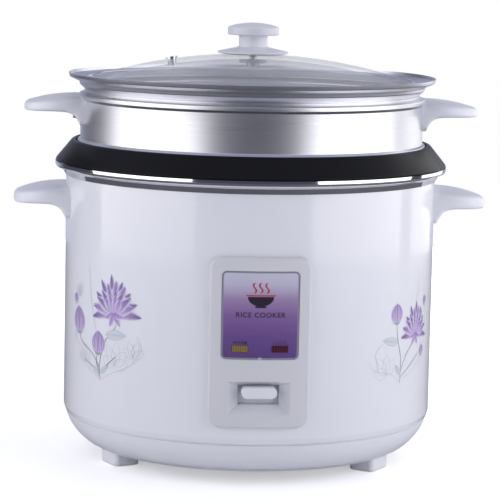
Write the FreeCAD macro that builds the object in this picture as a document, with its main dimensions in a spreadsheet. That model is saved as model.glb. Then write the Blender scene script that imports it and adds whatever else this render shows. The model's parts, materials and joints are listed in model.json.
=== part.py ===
"""Drum rice cooker with a steamer tray and a glass lid, as separate pieces.

Millimetres, +Z up.  The origin is on the floor under the cooker's own axis, the
control panel faces -Y and the carrying handles point along +X and -X.
"""
import FreeCAD, Part
import math
import os
import re
import Sketcher

V = FreeCAD.Vector
UP = V(0, 0, 1)

# ---------------------------------------------------------------- driving sizes
SIZES = {
    # housing
    "shell_radius": 142.5, "shell_wall": 0.8, "shell_low": 33.4, "shell_high": 221,
    "seam_radius": 140.8, "trim_radius": 150.9, "trim_top": 228, "trim_wall": 0.6,
    "collar_top": 244, "collar_mouth": 135.3, "collar_ledge": 237.5, "collar_throat": 129.6,
    "base_bottom": 10, "base_wall": 2.2, "cover_radius": 125.2,
    "liner_radius": 133, "liner_floor": 80.9, "liner_top": 210, "sheet": 0.5,
    # pot, heater and sensor
    "pot_radius": 127, "pot_wall": 1.2, "pot_bottom": 100.3, "pot_rim": 134.4,
    "heater_radius": 92, "heater_top": 100, "heater_low": 90, "sensor_radius": 19,
    "fit_gap": 0.3,
    # steamer tray
    "tray_radius": 132, "tray_wall": 0.8, "tray_floor": 212, "tray_seat": 239.9,
    # lid
    "glass_radius": 126, "glass_edge": 291, "glass_rise": 19.7, "glass_wall": 4,
    "knob_radius": 19.6, "knob_top": 335.1, "guard_radius": 27.2,
    # handles
    "body_handle_tip": 182.7, "tray_handle_tip": 175, "handle_half": 34,
    # control panel
    "panel_half": 36.7, "panel_low": 47.4, "panel_high": 172.5, "panel_face": 146.5,
    "label_half": 28, "label_low": 98.3, "label_high": 162.2,
    "slot_half": 15, "slot_low": 63.9, "slot_high": 78.5,
    "lamp_height": 106, "lamp_offset": 14.5, "lens_half": 5.75, "lens_rise": 2.35,
    # switch mechanism
    "lever_height": 74, "pivot_back": 58, "pin_radius": 1.5, "button_back": 90,
    # power inlet
    "inlet_height": 60, "inlet_half": 14.5,
    # feet
    "foot_radius": 109.5, "foot_half": 13, "foot_turn": -4,
}

doc = FreeCAD.newDocument("rice_cooker")
sheet = doc.addObject("Spreadsheet::Sheet", "dims")
for row, (alias, size) in enumerate(SIZES.items(), start=1):
    sheet.set("A%d" % row, alias)
    sheet.set("B%d" % row, str(size))
    sheet.setAlias("B%d" % row, alias)
doc.recompute()

nodes = []


# ---------------------------------------------------------------- small helpers
def cells(formula):
    """Write a formula on the sheet's aliases the way an expression needs it."""
    def dotted(word):
        name = word.group()
        return "dims." + name if name in SIZES else name
    return re.sub(r"[a-z_]+", dotted, str(formula))


def value(formula):
    """The number that a formula on the sheet's aliases gives now."""
    return float(sheet.evalExpression(str(formula)))


def bind(feature, **formulas):
    """Bind properties of a feature to the sheet; Placement parts use x, y, z."""
    paths = {"x": "Placement.Base.x", "y": "Placement.Base.y", "z": "Placement.Base.z"}
    for name, formula in formulas.items():
        feature.setExpression(paths.get(name, name), cells(formula))
    return feature


def keep(label, feature):
    """Give a finished piece the label that names its file."""
    feature.Label = label
    nodes.append(feature)
    return feature


def draw(sketch, corners, closed=True):
    """Draw straight runs through corners, each fixed by sheet formulas.

    A corner is (across, up), (across, up, "bend", radius) for a rounded corner,
    or (across, up, "arc", radius) where a round run leads on to the next corner;
    a positive arc has its centre on the left.
    """
    spots = [V(value(corner[0]), value(corner[1]), 0) for corner in corners]
    runs = len(corners) if closed else len(corners) - 1
    ends = []
    for run in range(runs):
        start, end = spots[run], spots[(run + 1) % len(spots)]
        if len(corners[run]) == 4 and corners[run][2] == "arc":
            radius = value(corners[run][3])
            chord = end - start
            lift = math.sqrt(radius ** 2 - (chord.Length / 2) ** 2) * math.copysign(1, radius)
            centre = start + chord / 2 + V(-chord.y, chord.x, 0) / chord.Length * lift
            first, last = (start, end) if radius > 0 else (end, start)
            angles = [math.atan2(p.y - centre.y, p.x - centre.x) for p in (first, last)]
            sketch.addGeometry(Part.ArcOfCircle(Part.Circle(centre, UP, abs(radius)), *angles))
            ends.append((1, 2) if radius > 0 else (2, 1))
        else:
            sketch.addGeometry(Part.LineSegment(start, end))
            ends.append((1, 2))
    for run in range(runs if closed else runs - 1):
        following = (run + 1) % runs
        sketch.addConstraint(Sketcher.Constraint(
            "Coincident", run, ends[run][1], following, ends[following][0]))
    for index, corner in enumerate(corners):
        run, end = (index, ends[index][0]) if index < runs else (runs - 1, ends[-1][1])
        place_point(sketch, "corner%d" % index, run, end, corner[0], corner[1])
        if len(corner) == 4 and corner[2] == "arc":
            radius = "abs(%s)" % corner[3]
            size_point(sketch, "Radius", "arc%d" % index, radius, index)
    bend_corners(sketch, corners, closed)


def place_point(sketch, name, run, end, across, up):
    """Fix one point of a sketch by two sheet formulas."""
    for kind, axis, formula in (("DistanceX", -2, across), ("DistanceY", -1, up)):
        if formula == "0":
            sketch.addConstraint(Sketcher.Constraint("PointOnObject", run, end, axis))
        else:
            spot = sketch.addConstraint(Sketcher.Constraint(kind, -1, 1, run, end, value(formula)))
            name_and_bind(sketch, spot, name + kind, formula)


def size_point(sketch, kind, name, formula, run):
    """Fix the radius of one round run by a sheet formula."""
    spot = sketch.addConstraint(Sketcher.Constraint(kind, run, value(formula)))
    name_and_bind(sketch, spot, name, formula)


def name_and_bind(sketch, spot, name, formula):
    sketch.renameConstraint(spot, name)
    if re.search("[a-z]", str(formula)):
        sketch.setExpression("Constraints." + name, cells(formula))


def bend_corners(sketch, corners, closed):
    """Round the corners that ask for it, keeping each corner point fixed."""
    for index, corner in enumerate(corners):
        if len(corner) == 4 and corner[2] == "bend":
            before = index - 1 if index else len(corners) - 1
            if closed or index:
                sketch.fillet(before, 2, value(corner[3]), True, True)


def free_sketch(name, corners, plane="XZ", closed=True, offset="0"):
    """A sketch of its own on the XZ, YZ or XY plane."""
    sketch = doc.addObject("Sketcher::SketchObject", name + "_outline")
    turns = {"XZ": FreeCAD.Rotation(V(1, 0, 0), 90), "XY": FreeCAD.Rotation(),
             "YZ": FreeCAD.Rotation(V(1, 1, 1), 120)}
    sketch.Placement = FreeCAD.Placement(V(), turns[plane])
    along = {"XZ": "y", "XY": "z", "YZ": "x"}[plane]
    draw(sketch, corners, closed)
    if offset != "0":
        bind(sketch, **{along: offset})
    return sketch


def body_sketch(body, role, offset="0"):
    """A sketch on one of a body's own origin planes."""
    plane = next(f for f in body.Origin.OriginFeatures if f.Role == role)
    sketch = body.newObject("Sketcher::SketchObject", body.Name + "_sketch")
    sketch.AttachmentSupport = [(plane, "")]
    sketch.MapMode = "FlatFace"
    if offset != "0":
        sketch.setExpression("AttachmentOffset.Base.z", cells(offset))
    return sketch


def turned(name, corners):
    """A solid turned round the cooker's axis from a closed half outline."""
    body = doc.addObject("PartDesign::Body", name + "_body")
    sketch = body_sketch(body, "XZ_Plane")
    draw(sketch, corners)
    turn = body.newObject("PartDesign::Revolution", name + "_turn")
    turn.Profile = sketch
    turn.ReferenceAxis = (sketch, ["V_Axis"])
    turn.Angle = 360
    body.Tip = turn
    return body


def spun(name, corners, wall):
    """A spun or drawn sheet: an open half outline given a wall and turned.

    The wall grows to the left of the outline's direction.
    """
    outline = free_sketch(name, corners, closed=False)
    section = doc.addObject("Part::Offset2D", name + "_section")
    section.Source = outline
    section.Mode = "Skin"
    section.Join = "Intersection"
    section.Fill = True
    bind(section, Value=wall)
    turn = doc.addObject("Part::Revolution", name + "_turn")
    turn.Source = section
    turn.Axis = UP
    turn.Angle = 360
    turn.Solid = True
    return turn


def upright(name, radius, low, high, across="0", deep="0"):
    """A cylinder standing along Z."""
    rod = doc.addObject("Part::Cylinder", name)
    return bind(rod, Radius=radius, Height="(%s) - (%s)" % (high, low), x=across, y=deep, z=low)


def lying(name, radius, low, high, axis, across="0", deep="0", up="0"):
    """A cylinder lying along X or Y between two places on that axis."""
    rod = doc.addObject("Part::Cylinder", name)
    turns = {"x": FreeCAD.Rotation(V(0, 1, 0), 90), "y": FreeCAD.Rotation(V(1, 0, 0), -90)}
    rod.Placement = FreeCAD.Placement(V(), turns[axis])
    places = {"x": across, "y": deep, "z": up}
    places[axis] = low
    return bind(rod, Radius=radius, Height="(%s) - (%s)" % (high, low), **places)


def block(name, x_span, y_span, z_span):
    """A box between two places on each axis."""
    box = doc.addObject("Part::Box", name)
    sides = zip(("Length", "Width", "Height"), ("x", "y", "z"), (x_span, y_span, z_span))
    for side, axis, (low, high) in sides:
        bind(box, **{side: "(%s) - (%s)" % (high, low), axis: low})
    return box


def tube(name, inner, outer, low, high, across="0", deep="0"):
    """A standing tube."""
    return cut(name, upright(name + "_outer", outer, low, high, across, deep),
               upright(name + "_bore", inner, "(%s) - 1" % low, "(%s) + 1" % high, across, deep))


def cut(name, base, *tools):
    """Take every tool away from the base."""
    result = doc.addObject("Part::Cut", name + "_cut")
    result.Base = base
    result.Tool = tools[0] if len(tools) == 1 else fuse(name + "_tools", *tools)
    return result


def fuse(name, *pieces):
    """Join pieces into one object."""
    result = doc.addObject("Part::MultiFuse", name + "_fused")
    result.Shapes = list(pieces)
    return result


def common(name, first, second):
    """What two pieces share."""
    result = doc.addObject("Part::Common", name + "_common")
    result.Base = first
    result.Tool = second
    return result


def group(name, pieces):
    """Separate solids that share one node."""
    result = doc.addObject("Part::Compound", name + "_group")
    result.Links = list(pieces)
    return result


def extruded(name, outline, length, direction):
    """A sketch pulled straight out."""
    result = doc.addObject("Part::Extrusion", name + "_pull")
    result.Base = outline
    result.DirMode = "Custom"
    result.Dir = direction
    result.Solid = True
    return bind(result, LengthFwd=length)


def rounded(name, feature, radius, chosen):
    """Round the edges that the test picks."""
    doc.recompute()
    edges = [i for i, edge in enumerate(feature.Shape.Edges, start=1) if chosen(edge)]
    if not edges:
        raise RuntimeError(name + ": no edge to round")
    result = doc.addObject("Part::Fillet", name + "_rounded")
    result.Base = feature
    result.Edges = [(i, radius, radius) for i in edges]
    return result


def turned_about(feature, degrees):
    """Turn a finished piece about the cooker's axis."""
    feature.Placement = FreeCAD.Placement(V(), FreeCAD.Rotation(UP, degrees))
    return feature


def round_block(name, across, low, high, corner, near, far, deep_sign=-1):
    """A block whose outline, seen from the front, has rounded corners."""
    bend = ("bend", corner)
    outline = free_sketch(name, [
        ("-(%s)" % across, low) + bend, (across, low) + bend,
        (across, high) + bend, ("-(%s)" % across, high) + bend], offset="%d * (%s)" % (deep_sign, near))
    return extruded(name, outline, "(%s) - (%s)" % (far, near), V(0, deep_sign, 0))


def curved_slab(name, inner, outer, across, low, high, corner, sign=-1):
    """A rounded plate that follows the shell's curve between two radii."""
    ring = tube(name + "_ring", inner, outer, "(%s) - 5" % low, "(%s) + 5" % high)
    plate = round_block(name + "_plate", across, low, high, corner, "shell_radius - 40",
                        "shell_radius + 20", sign)
    return common(name, ring, plate)


# ---------------------------------------------------------------- housing
def outer_shell():
    """Painted steel drum with windows for the panel, the inlet and the screws."""
    drum = spun("shell", [
        ("seam_radius", "shell_low"), ("shell_radius", "shell_low + 5", "bend", "3"),
        ("shell_radius", "shell_high")], "shell_wall")
    panel_window = round_block("panel_window", "25.5", "53", "112", "3", "130", "150")
    inlet_window = round_block("inlet_window", "inlet_half + 0.5", "inlet_height - 10.5",
                               "inlet_height + 10.5", "1", "130", "150", 1)
    holes = handle_screw_row("shell_hole", "2.1", "135", "148")
    holes += panel_screw_row("shell_panel_hole", "1.6", "-148", "-135")
    holes += inlet_screw_row("shell_inlet_hole", "1.6", "135", "148")
    return cut("outer_shell", drum, panel_window, inlet_window, *holes)


def trim_band():
    """Chromed band that tucks under the collar and closes on the shell."""
    return spun("trim_band", [
        ("143.3", "217.6"), ("145.6", "221.8", "bend", "2"), ("trim_radius", "224.2", "bend", "2.2"),
        ("trim_radius", "trim_top - 0.2")], "trim_wall")


def top_collar():
    """Heat-resistant collar with the ledge that carries the pot's rim."""
    return turned("top_collar", [
        ("141.4", "212"), ("141.4", "trim_top"), ("151.2", "trim_top", "bend", "0.8"),
        ("138.1", "collar_top", "bend", "3"), ("collar_mouth", "collar_top", "bend", "1"),
        ("collar_mouth", "collar_ledge", "bend", "1"),
        ("collar_throat", "collar_ledge", "bend", "0.8"), ("collar_throat", "231"),
        ("132.2", "231"), ("132.2", "235"), ("138.8", "235"), ("138.8", "212")])


def inner_liner():
    """Heat-shield can with the heater's floor."""
    can = spun("liner", [
        ("liner_radius + 8", "liner_top"), ("liner_radius", "liner_top", "bend", "1.5"),
        ("liner_radius", "liner_floor", "bend", "6"), ("20", "liner_floor")], "sheet")
    holes = heater_row("liner_hole", "2.2", "liner_floor - 5", "liner_floor + 5")
    holes += terminal_row("liner_terminal_hole", "4.5", "liner_floor - 5", "liner_floor + 5")
    return cut("inner_liner", can, *holes)


def base_ring():
    """Curved moulding between the shell and the bottom cover."""
    ring = turned("base_ring", [
        ("cover_radius + 0.6", "12.8"), ("140.6", "33.2", "arc", "37"), ("139.6", "33.3"),
        ("139.6", "44"), ("137.6", "44"), ("137.6", "34.4", "arc", "0 - 35"),
        ("cover_radius - 0.8", "14.9"), ("cover_radius - 13", "14.9"), ("cover_radius - 13", "12.8")])
    holes = base_screw_row("ring_hole", "1.6", "12", "22")
    bosses = base_screw_row("ring_boss", "4", "14.9", "24")
    return cut("base_ring_drilled", fuse("base_ring_bossed", ring, *bosses), *holes)


def bottom_cover():
    """Underside plate with rings of cooling slots."""
    plate = turned("bottom_cover", [
        ("0", "base_bottom"), ("120.6", "base_bottom", "bend", "1.5"), ("cover_radius", "12.5"),
        ("0", "12.5")])
    sketch = body_sketch(plate, "XY_Plane", "base_bottom - 1")
    draw(sketch, [("58", "0 - 2.5", "bend", "2"), ("92", "0 - 2.5", "bend", "2"),
                  ("92", "2.5", "bend", "2"), ("58", "2.5", "bend", "2")])
    slot = plate.newObject("PartDesign::Pocket", "cooling_slot")
    slot.Profile = sketch
    slot.Type = "Length"
    slot.Length = 10
    slot.Reversed = True
    ring = plate.newObject("PartDesign::PolarPattern", "cooling_slots")
    ring.Originals = [slot]
    ring.Axis = (sketch, ["N_Axis"])
    ring.Angle = 360
    ring.Occurrences = 24
    plate.Tip = ring
    holes = base_screw_row("cover_hole", "1.7", "9", "14")
    holes += base_screw_row("cover_sink", "3.5", "9", "11.8")
    holes += foot_screw_row("cover_foot_hole", "1.6", "9", "14")
    return cut("bottom_cover_drilled", plate, *holes)


def foot(name, azimuth):
    """Block foot with a deep hole for its screw, placed straight ahead of +X."""
    bend = ("bend", "4")
    sides = [("foot_radius - 10.5", "0 - foot_half"), ("foot_radius + 10.5", "0 - foot_half"),
             ("foot_radius + 10.5", "foot_half"), ("foot_radius - 10.5", "foot_half")]
    outline = free_sketch(name, [side + bend for side in sides], plane="XY")
    solid = extruded(name, outline, "base_bottom - 0.05", UP)
    solid = rounded(name, solid, 1.6, lambda edge: edge.BoundBox.ZMax < 0.01)
    well = upright(name + "_well", "4.2", "0 - 1", "5", across="foot_radius")
    hole = upright(name + "_hole", "1.7", "0 - 1", "20", across="foot_radius")
    return turned_about(cut(name, solid, well, hole), azimuth)


FOOT_AZIMUTHS = {"foot_front_left": -150, "foot_front_right": -30, "foot_rear": 90}


def around(name, radius, low, high, distance, azimuths):
    """Upright cylinders at one distance from the axis."""
    row = []
    for index, azimuth in enumerate(azimuths):
        rod = doc.addObject("Part::Cylinder", "%s_%d" % (name, index))
        bind(rod, Radius=radius, Height="(%s) - (%s)" % (high, low), z=low,
             x="(%s) * cos(%s deg)" % (distance, azimuth), y="(%s) * sin(%s deg)" % (distance, azimuth))
        row.append(rod)
    return row


def foot_screw_row(name, radius, low, high):
    return around(name, radius, low, high, "foot_radius",
                  [angle + SIZES["foot_turn"] for angle in FOOT_AZIMUTHS.values()])


def base_screw_row(name, radius, low, high):
    return around(name, radius, low, high, "118", [26, 146, 266])


def heater_row(name, radius, low, high):
    return around(name, radius, low, high, "86", [50, 170, 290])


def terminal_row(name, radius, low, high):
    return around(name, radius, low, high, "71", [80, 100])


def handle_screw_row(name, radius, low, high):
    """Cylinders along X through the roots of both carrying handles."""
    row = []
    for side in (1, -1):
        ends = (low, high) if side > 0 else ("0 - (%s)" % high, "0 - (%s)" % low)
        for deep in ("0 - 16", "16"):
            label = "%s_%d" % (name, len(row))
            row.append(lying(label, radius, ends[0], ends[1], "x", deep=deep, up="199.5"))
    return row


def panel_screw_row(name, radius, low, high):
    """Cylinders along Y behind the top and bottom of the control panel."""
    return [lying("%s_%d" % (name, index), radius, low, high, "y", up=up)
            for index, up in enumerate(("panel_low + 3.2", "panel_high - 5"))]


def inlet_screw_row(name, radius, low, high):
    """Cylinders along Y beside the power inlet."""
    return [lying("%s_%d" % (name, index), radius, low, high, "y", across=across, up="inlet_height")
            for index, across in enumerate(("0 - 19", "19"))]


def screw_set(name, shanks, heads):
    """Screws as separate solids: each shank joined to its head."""
    pairs = [fuse("%s_%d" % (name, index), shank, head)
             for index, (shank, head) in enumerate(zip(shanks, heads))]
    return group(name, pairs)


def foot_screws():
    return screw_set("foot_screws", foot_screw_row("foot_shank", "1.5", "5", "20"),
                     foot_screw_row("foot_head", "3.6", "2.6", "5"))


def base_screws():
    return screw_set("base_screws", base_screw_row("base_shank", "1.5", "11.8", "22"),
                     base_screw_row("base_head", "3.2", "10.1", "11.8"))


def handle_screws():
    return screw_set("handle_screws", handle_screw_row("handle_shank", "1.9", "139.5", "151"),
                     handle_screw_row("handle_head", "3.6", "137.4", "139.5"))


def panel_screws():
    return screw_set("panel_screws", panel_screw_row("panel_shank", "1.4", "0 - 145.2", "0 - 141"),
                     panel_screw_row("panel_head", "3", "0 - 141", "0 - 139"))


def inlet_screws():
    return screw_set("inlet_screws", inlet_screw_row("inlet_shank", "1.4", "134", "144.2"),
                     inlet_screw_row("inlet_head", "2.8", "144.2", "145.8"))


def tab_handle(name, root, tip, top, low, tip_top, tip_low, gusset, wall):
    """Tab handle along +X: a rounded plan cut to a tapering side outline."""
    curve = "(handle_half + 3)"
    square = "%s - %s + sqrt(%s ^ 2 - handle_half ^ 2)" % (tip, curve, curve)
    plan = free_sketch(name + "_plan", [
        ("120", "0 - handle_half"), (square, "0 - handle_half", "arc", curve),
        (square, "handle_half"), ("120", "handle_half")], plane="XY", offset="150")
    side = free_sketch(name + "_side", [
        ("120", gusset), (root + " + 4", gusset, "bend", "2"), (root + " + 8.5", low, "bend", "5"),
        (tip, tip_low, "bend", "3"), (tip, tip_top, "bend", "3.2"), (root + " + 14", top, "bend", "30"),
        ("120", top)], offset="100")
    upper = extruded(name + "_plan", plan, "200", UP)
    across = extruded(name + "_side", side, "200", V(0, -1, 0))
    tab = common(name, upper, across)
    return cut(name + "_seated", tab, upright(name + "_wall", wall, "150", "350"))


def body_handle(name, azimuth):
    tab = tab_handle(name, "shell_radius", "body_handle_tip", "209.5", "195.5", "203", "195",
                     "184", "shell_radius + 0.02")
    holes = handle_screw_row(name + "_screw_hole", "1.95", "135", "152")
    return turned_about(cut(name, tab, *holes[:2]), azimuth)


# ---------------------------------------------------------------- control panel
def control_panel():
    """Bezel curved with the shell, with a label seat, lamp holes and the lever's slot."""
    slab = curved_slab("bezel", "shell_radius + 0.1", "panel_face", "panel_half", "panel_low",
                       "panel_high", "9")
    slab = rounded("bezel", slab, 2.2, lambda edge: outer_rim(edge))
    cup = common("slot_cup", block("slot_cup_block", ("0 - 24.5", "24.5"), ("0 - 144", "0 - 134.5"),
                                   ("55", "84")),
                 upright("slot_cup_limit", "shell_radius + 1", "50", "90"))
    seat = curved_slab("label_seat", "panel_face - 0.9", "panel_face + 5", "label_half + 0.35",
                       "label_low - 0.35", "label_high + 0.35", "4")
    slot = block("slot", ("0 - slot_half", "slot_half"), ("0 - 150", "0 - 130"),
                 ("slot_low", "slot_high"))
    holes = [lens_hole("bezel_lens_%d" % index, side, "0.15") for index, side in enumerate((-1, 1))]
    holes += panel_screw_row("bezel_screw_hole", "1.45", "0 - 145.4", "0 - 130")
    return cut("control_panel", fuse("bezel_with_cup", slab, cup), seat, slot_funnel(), slot, *holes)


def outer_rim(edge):
    """True for the long edges of the bezel's front face."""
    face = SIZES["panel_face"]
    ends = [vertex.Point for vertex in edge.Vertexes]
    return all(abs(math.hypot(p.x, p.y) - face) < 0.05 for p in ends)


def slot_funnel():
    """Sloping sides that lead in to the lever's slot."""
    funnel = doc.addObject("Part::Wedge", "slot_funnel")
    front, back = "0 - panel_face - 1", "0 - 139"
    bind(funnel, Xmin="0 - 26.5", Xmax="26.5", Zmin="54.5", Zmax="82.6", Ymin=front, Ymax=back,
         X2min="0 - slot_half", X2max="slot_half", Z2min="slot_low", Z2max="slot_high")
    return funnel


def lens_hole(name, side, gap):
    """Opening for one lamp's lens; side is -1 for the warm lamp and 1 for the cook lamp."""
    middle = "%d * lamp_offset" % side
    return block(name, ("%s - lens_half - %s" % (middle, gap), "%s + lens_half + %s" % (middle, gap)),
                 ("0 - 150", "0 - 130"),
                 ("lamp_height - lens_rise - %s" % gap, "lamp_height + lens_rise + %s" % gap))


def panel_label():
    """Printed plate that sits in the bezel's seat."""
    plate = curved_slab("label", "panel_face - 0.85", "panel_face - 0.15", "label_half", "label_low",
                        "label_high", "3.5")
    holes = [lens_hole("label_lens_%d" % index, side, "0.15") for index, side in enumerate((-1, 1))]
    notch = lying("label_notch", "1.6", "0 - 150", "0 - 140", "y", up="label_low")
    return cut("panel_label", plate, notch, *holes)


def lamp_lens(name, side):
    """Coloured window over one lamp."""
    ring = tube(name + "_ring", "shell_radius - 1", "panel_face + 0.3", "lamp_height - 10",
                "lamp_height + 10")
    return common(name, ring, lens_hole(name + "_block", side, "0"))


def lamp_holder():
    """Curved strip inside the shell that carries both lamps."""
    return curved_slab("lamp_holder", "138", "138.8", "24", "95", "119", "2")


def lamp(name, side):
    """Small neon tube behind a lens."""
    across = "%d * lamp_offset" % side
    deep = "0 - sqrt(135.8 ^ 2 - lamp_offset ^ 2)"
    bulb = upright(name, "1.8", "99", "114", across, deep)
    return rounded(name, bulb, 1.2, lambda edge: edge.BoundBox.ZMin > 113.9)


# ---------------------------------------------------------------- power inlet
def power_inlet():
    """Moulded inlet body with a flange that follows the shell."""
    flange = curved_slab("inlet_flange", "shell_radius + 0.05", "shell_radius + 1.8", "24",
                         "inlet_height - 15", "inlet_height + 15", "3", 1)
    core = block("inlet_core", ("0 - inlet_half", "inlet_half"), ("122", "shell_radius + 1.2"),
                 ("inlet_height - 10", "inlet_height + 10"))
    cavity = block("inlet_cavity", ("0 - 11.5", "11.5"), ("126", "150"),
                   ("inlet_height - 7", "inlet_height + 7"))
    key = block("inlet_key", ("0 - 3", "3"), ("126", "150"), ("inlet_height + 6", "inlet_height + 8"))
    holes = inlet_screw_row("flange_hole", "1.5", "130", "150") + pin_row("core_pin_hole", "120", "130", 0)
    return cut("power_inlet", fuse("inlet_body", flange, core), cavity, key, *holes)


def pin_row(name, low, high, shrink):
    """Three flat blades in the inlet: two below and the earth blade above."""
    row = []
    for index, (across, up) in enumerate(((-7, -2), (7, -2), (0, 2))):
        row.append(block("%s_%d" % (name, index), ("%s - 1 + %s" % (across, shrink), "%s + 1 - %s" % (across, shrink)),
                         (low, high), ("inlet_height + %s - 2 + %s" % (up, shrink),
                                       "inlet_height + %s + 2 - %s" % (up, shrink))))
    return row


def inlet_pins():
    return group("inlet_pins", pin_row("inlet_pin", "116", "137", 0.02))


def terminal_block():
    """Ceramic block where the wires join, with its two clamp screws' wells."""
    solid = block("terminal_base", ("0 - 16", "16"), ("92", "106"), ("12.55", "28"))
    wells = [upright("terminal_well_%d" % index, "2.4", "20", "30", across, "99")
             for index, across in enumerate(("0 - 9", "0", "9"))]
    return cut("terminal_block", solid, *wells)


# ---------------------------------------------------------------- heater and sensor
def heater_plate():
    """Cast aluminium plate with the element's rib under it."""
    plate = turned("heater_plate", [
        ("21.5", "heater_low"), ("60", "heater_low"), ("63", "heater_low - 2.5"),
        ("79", "heater_low - 2.5"), ("82", "heater_low"), ("heater_radius", "heater_low", "bend", "1"),
        ("heater_radius", "heater_top", "bend", "2"), ("21.5", "heater_top")])
    holes = heater_row("plate_hole", "2", "heater_low - 5", "heater_top - 3")
    holes += terminal_row("plate_terminal_hole", "2.4", "heater_low - 5", "heater_low + 3")
    return cut("heater_plate", plate, *holes)


def heater_terminals():
    """Cold ends of the heating element with their ceramic collars."""
    pins = terminal_row("terminal_pin", "1.5", "72", "heater_low + 2")
    collars = terminal_row("terminal_collar", "2.35", "77", "heater_low + 2")
    pairs = [fuse("terminal_%d" % index, pin, collar)
             for index, (pin, collar) in enumerate(zip(pins, collars))]
    return group("heater_terminals", pairs)


def heater_spacers():
    """Three tubes between the liner's floor and the plate."""
    outer = heater_row("spacer", "4", "liner_floor", "heater_low")
    bores = heater_row("spacer_bore", "2.1", "liner_floor - 1", "heater_low + 1")
    return group("heater_spacers", [cut("spacer_%d" % index, post, bore)
                                    for index, (post, bore) in enumerate(zip(outer, bores))])


def heater_screws():
    return screw_set("heater_screws", heater_row("heater_shank", "1.9", "liner_floor - sheet", "95"),
                     heater_row("heater_head", "3.5", "liner_floor - sheet - 2", "liner_floor - sheet"))


def sensor_cap():
    """Cup that feels the bottom of the pot."""
    return turned("sensor_cap", [
        ("0", "99.1"), ("sensor_radius - 0.8", "99.1"), ("sensor_radius - 0.8", "90"),
        ("sensor_radius", "90"), ("sensor_radius", "pot_bottom - 0.4", "bend", "1"),
        ("0", "pot_bottom - 0.4")])


def ferrite_disc():
    """Temperature-sensitive disc under the sensor cap's crown."""
    return upright("ferrite_disc", "12.5", "95.5", "99.05")


def sensor_sleeve():
    """Guide tube with the flange that fixes it under the liner's floor."""
    return turned("sensor_sleeve", [
        ("3", "79.5"), ("28", "79.5"), ("28", "80.35"), ("17.6", "80.35"), ("17.6", "94"),
        ("17", "94"), ("17", "80.35"), ("3", "80.35")])


def coil(name, radius, wire, low, high, turns):
    """A compression spring swept along a helix that is split every quarter turn."""
    helix = doc.addObject("Part::Helix", name + "_path")
    helix.SegmentLength = 0.25
    bind(helix, Radius=radius, Height="(%s) - (%s)" % (high, low), z=low,
         Pitch="((%s) - (%s)) / %d" % (high, low, turns))
    section = doc.addObject("Part::Circle", name + "_wire")
    section.Placement = FreeCAD.Placement(V(), FreeCAD.Rotation(V(1, 0, 0), 90))
    bind(section, Radius=wire, x=radius, z=low)
    sweep = doc.addObject("Part::Sweep", name + "_sweep")
    sweep.Sections = [section]
    sweep.Spine = (helix, ["Edge%d" % (part + 1) for part in range(4 * turns)])
    sweep.Solid = True
    sweep.Frenet = True
    return sweep


def plunger_rod():
    """Rod that the lever lifts."""
    return upright("plunger_rod", "1.6", "lever_height + 0.95", "86")


def plunger_magnet():
    """Ring magnet on top of the rod."""
    return rounded("plunger_magnet", upright("magnet_blank", "10", "86", "89.5"), 0.5,
                   lambda edge: edge.BoundBox.XLength > 15)


# ---------------------------------------------------------------- switch mechanism
def switch_lever():
    """Rocking strip with a barrel round its pivot pin."""
    strip = block("lever_strip", ("0 - 5", "5"), ("0 - 138", "6"),
                  ("lever_height - 0.6", "lever_height + 0.6"))
    barrel = lying("lever_barrel", "3.2", "0 - 7.4", "7.4", "x", deep="0 - pivot_back", up="lever_height")
    bore = lying("lever_bore", "pin_radius + 0.05", "0 - 9", "9", "x", deep="0 - pivot_back",
                 up="lever_height")
    return cut("switch_lever", fuse("lever_blank", strip, barrel), bore)


def lever_knob():
    """Paddle that the finger presses, with round ends, and the shutter behind it that closes the slot."""
    paddle = round_block("paddle", "12.85", "lever_height - 4.2", "lever_height + 4.2", "4", "137", "149")
    paddle = rounded("paddle", paddle, 1, lambda edge: edge.BoundBox.YMax < -148.9)
    neck = block("paddle_neck", ("0 - 8", "8"), ("0 - 137.5", "0 - 133.1"), ("lever_height - 3", "lever_height + 3"))
    shutter = block("paddle_shutter", ("0 - 17", "17"), ("0 - 133.9", "0 - 133.1"),
                    ("lever_height - 14.5", "lever_height + 7"))
    socket = block("paddle_socket", ("0 - 5", "5"), ("0 - 138", "0 - 130"),
                   ("lever_height - 0.6", "lever_height + 0.6"))
    return cut("lever_knob", fuse("paddle_blank", paddle, neck, shutter), socket)


def lever_pivot_pin():
    shank = lying("pivot_shank", "pin_radius", "0 - 9.6", "9.6", "x", deep="0 - pivot_back", up="lever_height")
    head = lying("pivot_head", "2.8", "9.1", "10.4", "x", deep="0 - pivot_back", up="lever_height")
    return fuse("lever_pivot_pin", shank, head)


def lever_bracket():
    """Folded bracket under the liner's floor: two ears hold the pin, one the switch."""
    top = "liner_floor - sheet - 0.05"
    plate = block("bracket_plate", ("0 - 9", "9"), ("0 - 108", "0 - 46"), ("liner_floor - sheet - 0.85", top))
    near_ear = block("near_ear", ("0 - 9", "0 - 8"), ("0 - 64", "0 - 52"), ("69.5", top))
    far_ear = block("far_ear", ("8", "9"), ("0 - 108", "0 - 52"), ("60", top))
    bore = lying("ear_bore", "pin_radius + 0.02", "0 - 12", "12", "x", deep="0 - pivot_back", up="lever_height")
    return cut("lever_bracket", fuse("bracket_blank", plate, near_ear, far_ear), bore)


def micro_switch():
    """Snap switch under the lever, fixed to the bracket's long ear."""
    case = block("switch_case", ("0 - 6", "7.95"), ("0 - 102", "0 - 78"), ("57", "70.2"))
    well = block("switch_well", ("0 - 2.2", "2.2"), ("0 - button_back - 2.2", "2.2 - button_back"),
                 ("65", "75"))
    return cut("micro_switch", case, well)


def switch_button():
    """Plunger of the snap switch."""
    return block("switch_button", ("0 - 2", "2"), ("0 - button_back - 2", "2 - button_back"),
                 ("67.8", "lever_height - 0.95"))


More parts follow.
